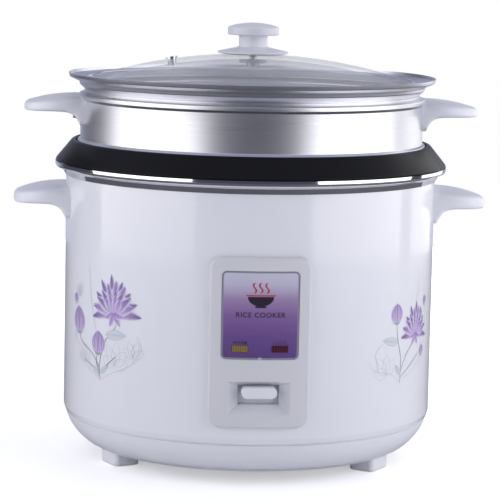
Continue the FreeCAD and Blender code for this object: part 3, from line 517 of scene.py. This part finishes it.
# %% [markdown]
# ## Lid
# The lid is a shallow dome of toughened glass held in a thin steel band, with a silicone vent and a
# moulded knob that a screw holds from below. The dome is part of a large sphere, so its height at
# each radius comes from the sphere's own equation.

# %% Glass dome
hole, rim, rise, summit, pane = 3, 126, 19.7, 310.7, 4
sphere = (rim ** 2 + rise ** 2) / (2 * rise)


def crown(radius, sunk):
    """The height of the dome at this radius, on a surface sunk this far into the glass."""
    return summit - sphere + math.sqrt((sphere - sunk) ** 2 - radius ** 2)


radii = [hole + (rim - hole) * step / 24 for step in range(25)]
dome = turned("glass_dome", [(r, crown(r, 0)) for r in radii] + [(r, crown(r, pane)) for r in reversed(radii)]
              + [(hole, crown(hole, 0))])
dress(dome, "lid_clear", "lid", "lid_glass")

# %% Rim band, skirt and knob
band = turned("lid_band", [
    (122.8, 286.3), (131.2, 286.3), (131.2, 286.9), (127.1, 286.9), (127.1, 291.7, 0.5), (123.2, 292.7),
    (123, 292.2), (126.5, 291.2), (126.5, 286.9), (122.8, 286.9), (122.8, 286.3)])
dress(band, "band_steel", "lid", "lid_rim_band")
skirt = turned("knob_skirt", [
    (2.3, 311), (23.5, 311), (27.2, 311.7, 0.6), (27, 313, 0.9), (12.5, 316.2, 3), (11.5, 316.8),
    (2.3, 316.8), (2.3, 311)], steps=96)
dress(skirt, "white_plastic", "lid", "knob_guard")
knob = turned("lid_grip", [
    (0, 316.8), (11, 316.8), (11, 325.3, 1), (19.6, 325.7, 1), (19.6, 331.8, 1.6), (14, 333.5, 8),
    (7, 334.7, 8), (0, 335.1)], steps=96)
dress(knob, "white_plastic", "lid", "lid_knob")

# %% [markdown]
# ## Side handles
# The handles are hollow-looking paddles that flow out of a gusset on the wall and end in a round nose.
# A grid is laid round the handle's sections: each section is a soft rectangle whose width follows the
# nose and whose underside sweeps down into the gusset. The seam is merged, the root is closed, and a
# Boolean cylinder seats the handle on its wall.


# %% Lofted handle
def film(name, across, along, shape, colour=None):
    """A grid whose points go where shape(u, v) says, u and v from 0 to 1, in mm."""
    only(None)
    bpy.ops.mesh.primitive_grid_add(x_subdivisions=along, y_subdivisions=across, size=1)
    piece = bpy.context.object
    piece.name = name
    ink = piece.data.attributes.new("ink", "FLOAT_COLOR", "POINT") if colour else None
    for place, point in enumerate(piece.data.vertices):
        u, v = point.co.x + 0.5, point.co.y + 0.5
        if ink:
            ink.data[place].color = (*colour(u, v), 1)
        point.co = shape(u, v)
    return piece


def power(value, degree):
    """A power that keeps the sign."""
    return math.copysign(abs(value) ** degree, value)


HALF_WIDE = 34


def handle(name, side, wall, tip, gusset, low, tip_low, tip_high, top):
    """A handle on the wall of that radius, to the right (side 1) or the left (side -1)."""
    root = wall - 9

    def shape(u, v):
        x = tip - (tip - root) * (1 - v) ** 1.6
        reach = min(max(0, (x - wall) / (tip - wall)), 1)
        width = HALF_WIDE * (1 - reach ** 2.6) ** 0.455
        high = tip_high + (top - tip_high) * (1 - reach ** 2.2)
        under = low + (tip_low - low) * reach - (low - gusset) * math.exp(-max(x - wall, 0) / 3.6)
        round_off = math.sqrt(max(1 - max(0, (x - tip + 3) / 3) ** 2, 0))
        half, middle = (high - under) / 2 * (0.25 + 0.75 * round_off), (high + under) / 2
        turn = 2 * math.pi * u
        y = width * power(math.cos(turn), 0.3)
        sag = 1.6 * (y / HALF_WIDE) ** 2 if math.sin(turn) > 0 else 0
        z = middle + half * power(math.sin(turn), 0.42) - sag
        return (side * x * MM, y * MM, z * MM)

    piece = film(name, 36, 72, shape)
    bpy.ops.object.mode_set(mode="EDIT")
    bpy.ops.mesh.select_all(action="SELECT")
    bpy.ops.mesh.remove_doubles(threshold=0.00002)
    bpy.ops.mesh.select_all(action="DESELECT")
    bpy.ops.mesh.select_non_manifold()
    bpy.ops.mesh.edge_face_add()
    bpy.ops.mesh.select_all(action="SELECT")
    bpy.ops.mesh.normals_make_consistent(inside=False)
    bpy.ops.object.mode_set(mode="OBJECT")
    only(None)
    bpy.ops.mesh.primitive_cylinder_add(
        vertices=256, radius=(wall + 0.02) * MM, depth=0.4, location=(0, 0, 0.2))
    cut_away(piece, bpy.context.object)
    bpy.ops.object.shade_smooth_by_angle(angle=math.radians(40))
    return piece


# %% Both pairs
DRUM, TRAY = 142.5, 132
for side, word in ((1, "right"), (-1, "left")):
    dress(handle("drum_handle_" + word, side, DRUM, 182.7, 184, 195.5, 195, 203, 210.5),
          "white_plastic", "housing", "body_handle_" + word)
    dress(handle("tray_handle_" + word, side, TRAY, 175, 255, 266, 265.6, 272, 278.6),
          "white_plastic", "tray", "steamer_handle_" + word)

# %% [markdown]
# ## Flat print on a round wall
# Legends and flowers are thin films on a cylinder. They are drawn flat, where a design is easy, and
# then rolled on: distance across becomes an angle. Legends and badges are first cut into narrow
# strips so they can bend.


# %% Rolling a flat design onto the drum
LABEL_FACE, STRIP = 146.42, 2


def roll_on(piece, radius, strips=True):
    """Flat design in x and z (mm) rolled round the upright axis at this radius, facing front."""
    only(piece)
    if strips:
        left = min(v.co.x for v in piece.data.vertices)
        right = max(v.co.x for v in piece.data.vertices)
        bpy.ops.object.mode_set(mode="EDIT")
        for line in range(int(left // STRIP) + 1, int(right // STRIP) + 1):
            bpy.ops.mesh.select_all(action="SELECT")
            bpy.ops.mesh.bisect(plane_co=(line * STRIP, 0, 0), plane_no=(1, 0, 0))
        bpy.ops.object.mode_set(mode="OBJECT")
    for point in piece.data.vertices:
        turn, out = point.co.x / radius, (radius - point.co.y) * MM
        point.co = (out * math.sin(turn), -out * math.cos(turn), point.co.z * MM)


def legend(name, words, size, spot, ink):
    """Lettering as a flat mesh centred on spot (x, z), rolled on to the label."""
    only(None)
    bpy.ops.object.text_add(location=(0, 0, 0))
    text = bpy.context.object
    text.data.body, text.data.size = words, size
    text.data.align_x = text.data.align_y = "CENTER"
    text.data.space_character, text.data.offset = 1.12, 0.02 * size
    bpy.ops.object.convert(target="MESH")
    text = bpy.context.object
    text.name = name
    for point in text.data.vertices:
        point.co = (point.co.x + spot[0], 0, point.co.y + spot[1])
    roll_on(text, LABEL_FACE)
    dress_ink(text, ink)
    return text


def dress_ink(piece, ink, body="housing"):
    """Gives a printed piece its ink and its body."""
    piece.data.materials.clear()
    piece.data.materials.append(ink.material)
    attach(piece, body)


def printed(name, colour, spread=0.15):
    """Screen-print ink: nearly flat colour with a fine grain in it."""
    ink = Finish(name, Coat_Weight=0.3, Coat_Roughness=0.15)
    grain = ink.noise(3000, 2)
    ink.feed("Base Color", ink.blend(grain * spread, colour, (0.5, 0.45, 0.6)))
    ink.feed("Roughness", 0.32 + ink.noise(200, 2) * 0.12)
    ink.bump(grain, 0.000005)
    return ink


black_ink = printed("ink_black", (0.008, 0.006, 0.014))
plum_ink = printed("ink_plum", (0.06, 0.02, 0.09))
legend("legend_type", "RICE COOKER", 5.1, (0, 130.6), black_ink)
legend("legend_warm", "WARM", 3.2, (-14.5, 110.4), black_ink)
legend("legend_cook", "COOK", 3.2, (14.5, 110.4), plum_ink)
print("legends rolled on")

# %% [markdown]
# ## Flower sprays
# A spray of violet blooms is printed at each side of the panel. Each petal is a small grid pulled into
# a pointed oval, pale at its base and deeper at its tip, stored as a colour attribute so the shade
# follows the petal. Stems and the faint line drawing behind are narrow ribbons along smooth curves.
# Every film lies a few thousandths of a millimetre over the one before, so none of them flicker.

# %% Petals and pen strokes
layer, sheets = [0], []
LILAC, VIOLET = (0.52, 0.36, 0.7), (0.3, 0.16, 0.5)
DEEP, PALE = (0.18, 0.09, 0.34), (0.84, 0.8, 0.9)
STEM, LEAF, FAINT = (0.26, 0.27, 0.36), (0.45, 0.52, 0.55), (0.56, 0.59, 0.68)


def on_drum(azimuth, height):
    return Vector((DRUM * math.radians(azimuth), height))


def shade(first, second, amount):
    return tuple(a + (b - a) * amount for a, b in zip(first, second))


def lay(across, along, shape, colour):
    """Adds one film to the spray, just over the one before."""
    layer[0] += 1
    lift = -0.05 - 0.0025 * layer[0]
    sheets.append(film("print", across, along, lambda u, v: (shape(u, v).x, lift, shape(u, v).y), colour))


def petal(root, turn, length, width, base=LILAC, tip=VIOLET, hook=0.0):
    """A pointed oval that leaves root at this angle from upright (degrees, right is positive)."""
    turn = math.radians(turn)
    ahead, aside = Vector((math.sin(turn), math.cos(turn))), Vector((-math.cos(turn), math.sin(turn)))

    def shape(u, v):
        half = width / 2 * math.sin(math.pi * u ** 0.8) ** 0.75 if 0 < u < 1 else 0
        return root + ahead * length * u + aside * (half * (2 * v - 1) + hook * length * u * u)

    lay(8, 10, shape, lambda u, v: shade(
        shade(base, tip, min(1, 0.15 + u ** 0.9)), PALE, abs(2 * v - 1) ** 3 * min(1, 2.2 * u)))


def along_curve(points, u):
    """The point at u (0 to 1) on a smooth curve through the points."""
    place = min(u * (len(points) - 1), len(points) - 1.000001)
    k, t = int(place), place - int(place)
    a, b, c, d = (points[min(max(k + step, 0), len(points) - 1)] for step in (-1, 0, 1, 2))
    return (b + (c - a) * (t / 2) + (a * 2 - b * 5 + c * 4 - d) * (t * t / 2)
            + (b * 3 - a - c * 3 + d) * (t ** 3 / 2))


def stroke(points, width, colour):
    """A pen line through the points (azimuth, height)."""
    line = [on_drum(*point) for point in points]

    def shape(u, v):
        way = (along_curve(line, min(u + 0.01, 1)) - along_curve(line, max(u - 0.01, 0))).normalized()
        taper = 0.45 + 0.55 * math.sin(math.pi * u)
        return along_curve(line, u) + Vector((-way.y, way.x)) * (width * taper * (v - 0.5))

    lay(1, 7 * (len(points) - 1), shape, lambda u, v: colour)


def outline(root, turn, length, width, colour, pen=0.32):
    """A petal or leaf drawn as two pen lines from root to tip."""
    turn = math.radians(turn)
    ahead, aside = Vector((math.sin(turn), math.cos(turn))), Vector((-math.cos(turn), math.sin(turn)))
    for side in (-1, 1):
        line = [root + ahead * length * t + aside * side * width / 2 * math.sin(math.pi * t ** 0.8) ** 0.8
                for t in (0, 0.2, 0.4, 0.6, 0.8, 1)]
        stroke([(math.degrees(point.x / DRUM), point.y) for point in line], pen, colour)


# %% Blooms, buds and leaves
def bloom(azimuth, height, size, lean):
    """An open flower: four rows of petals, the back row first."""
    root = on_drum(azimuth, height)
    rows = ((9, 92, 1.0, 0.3, DEEP), (8, 72, 0.86, 0.32, VIOLET), (6, 50, 0.68, 0.3, DEEP),
            (4, 26, 0.48, 0.24, VIOLET))
    for row, (count, spread, length, width, tip) in enumerate(rows):
        for step in range(count):
            share = step / (count - 1) * 2 - 1
            petal(root + Vector((share * size * 0.1, row * size * 0.02)), lean + share * spread,
                  size * length * (1 - 0.14 * abs(share) + 0.08 * math.sin(5 * step + row)), size * width,
                  shade(LILAC, (0.78, 0.7, 0.88), 0.4), tip, -0.1 * share)
    for share in (-1, -0.4, 0.4, 1):
        petal(root, lean + 180 - share * 62, size * 0.42, size * 0.2, VIOLET,
              shade(LILAC, VIOLET, 0.3), 0.2 * share)


def bud(azimuth, height, size, lean):
    """A closed flower: a round belly of upright petals over two small sepals."""
    root, turn = on_drum(azimuth, height), math.radians(lean)
    ahead, aside = Vector((math.sin(turn), math.cos(turn))), Vector((math.cos(turn), -math.sin(turn)))
    for share in (-1, 1, -0.66, 0.66, -0.33, 0.33, 0):
        def shape(u, v):
            belly = share * 0.36 * math.sin(math.pi * (0.08 + 0.8 * u)) ** 0.8
            half = 0.11 * math.sin(math.pi * u ** 0.8) ** 0.75 if 0 < u < 1 else 0
            rise = ahead * size * u * (1 - 0.1 * abs(share))
            return root + rise + aside * size * (belly + half * (2 * v - 1))

        deep = DEEP if abs(share) in (0, 0.66) else VIOLET
        lay(6, 12, shape, lambda u, v: shade(shade(LILAC, deep, 0.2 + 0.8 * u), PALE, abs(2 * v - 1) ** 3))
    for share in (-1, 1):
        petal(root, lean + share * 75, size * 0.36, size * 0.15, STEM, LEAF, 0.25 * share)


def leaf(azimuth, height, turn, length, width):
    """A pale leaf with a drawn edge and a middle vein."""
    root = on_drum(azimuth, height)
    petal(root, turn, length, width, (0.66, 0.7, 0.74), (0.6, 0.66, 0.7))
    outline(root, turn, length, width, LEAF, 0.5)
    tip = root + Vector((math.sin(math.radians(turn)), math.cos(math.radians(turn)))) * length * 0.9
    stroke([(azimuth, height), (math.degrees(tip.x / DRUM), tip.y)], 0.4, LEAF)


def spray(name):
    """Joins all films laid since the last spray and rolls them on."""
    only(sheets[0])
    for sheet in sheets:
        sheet.select_set(True)
    bpy.ops.object.join()
    piece = bpy.context.object
    piece.name = name
    roll_on(piece, DRUM, strips=False)
    dress_ink(piece, flower_ink)
    print(name, len(sheets), "films")
    sheets.clear()
    layer[0] = 0


flower_ink = Finish("ink_flower", Coat_Weight=0.5, Coat_Roughness=0.06)
laid = flower_ink.node("ShaderNodeAttribute", {"attribute_name": "ink"}, result="Color")
flower_ink.feed("Base Color", flower_ink.blend(flower_ink.noise(2600, 2) * 0.1, laid, (0.8, 0.78, 0.86)))
flower_ink.feed("Roughness", 0.24 + flower_ink.noise(90, 3) * 0.1)
flower_ink.bump(flower_ink.noise(420, 2), 0.00001)

# %% Left spray
PEN, STALK = 0.4, 0.75
for turn, length in ((-70, 20), (-30, 24), (10, 26), (48, 24), (80, 20)):
    outline(on_drum(-47, 84), turn, length * 0.7, 9, FAINT)
    outline(on_drum(-62, 82), turn * 0.8 - 8, length * 0.5, 6, FAINT)
for turn, length in ((-60, 12), (-20, 13), (20, 13), (60, 12)):
    outline(on_drum(-39.5, 92), turn, length, 6, FAINT)
    outline(on_drum(-66, 130), turn * 0.6, length * 0.8, 4, FAINT)
for path in (
    ((-53.5, 71), (-48, 78), (-42, 84), (-37, 92)), ((-53.5, 71), (-60, 78), (-67, 88)),
    ((-55, 100), (-58.5, 130), (-60, 156)), ((-40, 88), (-36.5, 98), (-38, 108)),
    ((-64, 92), (-69, 98), (-68, 108)),
):
    stroke(path, PEN, FAINT)
for path in (
    ((-53.5, 71), (-53.8, 84), (-51.5, 100), (-47, 112), (-46, 121)),
    ((-53.7, 80), (-58, 90), (-64, 96), (-66, 103)), ((-53.6, 76), (-55.5, 84), (-54.8, 91)),
    ((-53.3, 78), (-50, 84), (-46.5, 91)), ((-53.5, 73), (-57, 79), (-62, 84)),
):
    stroke(path, STALK, STEM)
leaf(-51, 106, 86, 22, 7)
leaf(-53.5, 76, 52, 12, 3.6)
leaf(-53.5, 74, -58, 13, 3.6)
bud(-66, 102, 21, -6)
bud(-54.8, 90, 18, 2)
bud(-68.5, 124, 8, -10)
bloom(-47.5, 123, 27, -6)
spray("spray_left")

# %% Right spray
for turn, length in ((-78, 20), (-40, 24), (0, 22), (40, 20)):
    outline(on_drum(43, 80), turn, length * 0.7, 9, FAINT)
for path in (
    ((49.8, 72), (45, 80), (38, 84), (35, 92)), ((50, 74), (58, 80), (65, 92)),
    ((57, 118), (60, 136), (60.8, 153)), ((40, 86), (38, 96), (41, 104)),
):
    stroke(path, PEN, FAINT)
for path in (
    ((49.8, 72), (50, 90), (48.2, 106), (47.6, 118)), ((49.9, 80), (53, 92), (57, 100), (58.5, 104)),
    ((49.8, 76), (56, 84), (62, 92)),
):
    stroke(path, STALK, STEM)
leaf(48.6, 103, -80, 19, 6)
leaf(50, 78, -40, 11, 3.4)
bud(47.6, 117, 16, 0)
bud(64, 88, 9, 10)
bud(66, 126, 8, 14)
bloom(58.8, 107, 23, 4)
spray("spray_right")

# %% [markdown]
# ## A plain badge
# Where a maker would put a name, this cooker carries a picture of its own: a rice bowl with steam. The
# bowl is a half disc over a short foot, and the steam is three wavy ribbons.

# %% Rice bowl badge
badge_ink = printed("ink_badge", (0.012, 0.008, 0.02), 0.05)
warm_ink = printed("ink_warm", (0.5, 0.03, 0.04), 0.1)


def badge(name, shape, along, across, ink):
    """A flat figure in x and z (mm) on the label."""
    piece = film(name, across, along, lambda u, v: (shape(u, v)[0], 0, shape(u, v)[1]))
    only(piece)
    bpy.ops.object.mode_set(mode="EDIT")
    bpy.ops.mesh.select_all(action="SELECT")
    bpy.ops.mesh.remove_doubles(threshold=0.001)
    bpy.ops.object.mode_set(mode="OBJECT")
    roll_on(piece, LABEL_FACE)
    dress_ink(piece, ink)


badge("badge_bowl", lambda u, v: (
    9.5 * math.cos(math.pi * (1 + u)) * v, 144 + 7 * math.sin(math.pi * (1 + u)) * v), 24, 6, badge_ink)
badge("badge_foot", lambda u, v: ((u - 0.5) * 8, 135.9 + 1.3 * v), 6, 1, badge_ink)
badge("badge_rim", lambda u, v: ((u - 0.5) * 21.5, 144.4 + 0.9 * v), 14, 1, warm_ink)
for spot in (-4.5, 0, 4.5):
    badge("badge_steam_%d" % (spot * 2 + 9), lambda u, v: (
        spot + math.sin(u * 2 * math.pi) * 1.1 + (v - 0.5) * 1.3, 146.6 + u * 7.5), 16, 1, warm_ink)
print("badge printed")

# %% [markdown]
# ## Studio
# The set is a plain pale floor in soft light. Two tall soft boxes stand at the sides, because a
# polished cylinder needs something bright to each side and something darker in front to read as
# round. A narrower one picks out the right edge from the rear, and two that mirrors don't show light
# the knob, the handles and the dome from above and behind. The floor glows a little where it is seen
# directly and fades to white round the edge, and from below it can be seen through.

# %% Floor, lights and camera
only(None)
bpy.ops.mesh.primitive_circle_add(vertices=96, radius=1.3, fill_type="NGON", location=(0, 0, -0.0002))
floor = bpy.context.object
floor.name = "studio_floor"
pale = Finish("floor_pale", Roughness=0.7, Emission_Strength=1.1)
direct = pale.node("ShaderNodeLightPath", result="Is Camera Ray")
mirrored = pale.node("ShaderNodeLightPath", result="Is Glossy Ray")
across, deep, _ = pale.axes()
edge = pale.fade((across * across + deep * deep) ** 0.5, 0.2, 0.9, 0.38, 1.0)
# painted dark reflection: polished surfaces see the floor nearly black, while light and direct views see it
# pale
pale.feed("Base Color", pale.blend(mirrored, (0.94, 0.94, 0.95), (0.12, 0.12, 0.13)))
pale.feed("Emission Color", pale.blend(direct * edge, (0, 0, 0), (1, 1, 1)))
pale.feed("Alpha", 1 - pale.node("ShaderNodeNewGeometry", result="Backfacing"))
floor.data.materials.append(pale.material)


def soft_box(name, azimuth, distance, height, width, tall, watts, aim=0.16, mirrored=True):
    """A rectangular light at an angle round the object; 0 is in front, 90 to its right."""
    lamp = bpy.data.lights.new(name, "AREA")
    lamp.shape, lamp.size, lamp.size_y, lamp.energy = "RECTANGLE", width, tall, watts
    holder = bpy.data.objects.new(name, lamp)
    bpy.context.scene.collection.objects.link(holder)
    holder.visible_glossy = mirrored
    turn = math.radians(azimuth)
    holder.location = (distance * math.sin(turn), -distance * math.cos(turn), height)
    holder.rotation_euler = (Vector((0, 0, aim)) - holder.location).to_track_quat("-Z", "Y").to_euler()


soft_box("side_left", -70, 1.5, 0.5, 2.2, 1.5, 17.5)
soft_box("side_right", 67, 1.5, 0.5, 2.1, 1.5, 19)
soft_box("rear_right", 128, 1.5, 0.5, 1.0, 1.5, 6)
soft_box("overhead", 180, 0.3, 1.7, 1.4, 1.0, 3.2, mirrored=False)
soft_box("behind", 180, 2.2, 1.5, 1.4, 0.8, 9, mirrored=False)

# %% [markdown]
# The surroundings are brighter for matt surfaces than for polished ones, as a room with black flags
# near the set would be: chrome and aluminium then keep their dark middle while the enamel stays white.
# Polished surfaces still mirror a pale ceiling and a pale strip behind. What shows directly, or
# straight through the glass, is plain white.

# %% Surroundings
sky = bpy.data.worlds.new("studio")
bpy.context.scene.world = sky
sky.use_nodes = True
air = Board(sky.node_tree)
path = air.node("ShaderNodeLightPath").socket.node.outputs
camera_ray, glossy, through, bounces, shines = (Signal(air, path[label]) for label in (
    "Is Camera Ray", "Is Glossy Ray", "Is Transmission Ray", "Diffuse Depth", "Glossy Depth"))
untouched = 1 - (bounces + shines).work("MINIMUM", bounces + shines, 1.0)
shown = camera_ray.work("MAXIMUM", camera_ray, through * untouched)
_, depth, height = air.split(air.node("ShaderNodeTexCoord", result="Generated"))
rear, above = air.fade(depth, 0.8, 0.97), air.fade(height, 0.4, 0.8)
polished = glossy.work("MAXIMUM", glossy, through)
matt_level, polished_drop = 0.27, 0.18
strength = shown + (1 - shown) * (
    matt_level - polished * polished_drop + glossy * (rear * 0.55 + above * 0.6))
hue = air.blend(shown, (0.69, 0.73, 1.0), (1, 1, 1))
backdrop = sky.node_tree.nodes["Background"]
sky.node_tree.links.new(strength.socket, backdrop.inputs["Strength"])
sky.node_tree.links.new(hue.socket, backdrop.inputs["Color"])

# %% Camera
view = bpy.data.cameras.new("studio_camera")
view.lens, view.sensor_width, view.shift_x = 170.65, 36, 0.002
turned_right, looking_down, rolled = 3.7, 7.5, 1.19
camera = bpy.data.objects.new("studio_camera", view)
bpy.context.scene.collection.objects.link(camera)
camera.location = (-0.118, -1.8257, 0.3995)
towards = Matrix.Rotation(math.radians(-turned_right), 4, "Z")
towards = towards @ Matrix.Rotation(math.radians(90 - looking_down), 4, "X")
camera.rotation_euler = (towards @ Matrix.Rotation(math.radians(rolled), 4, "Z")).to_euler()
bpy.context.scene.camera = camera
bpy.context.scene.view_settings.view_transform = "Standard"
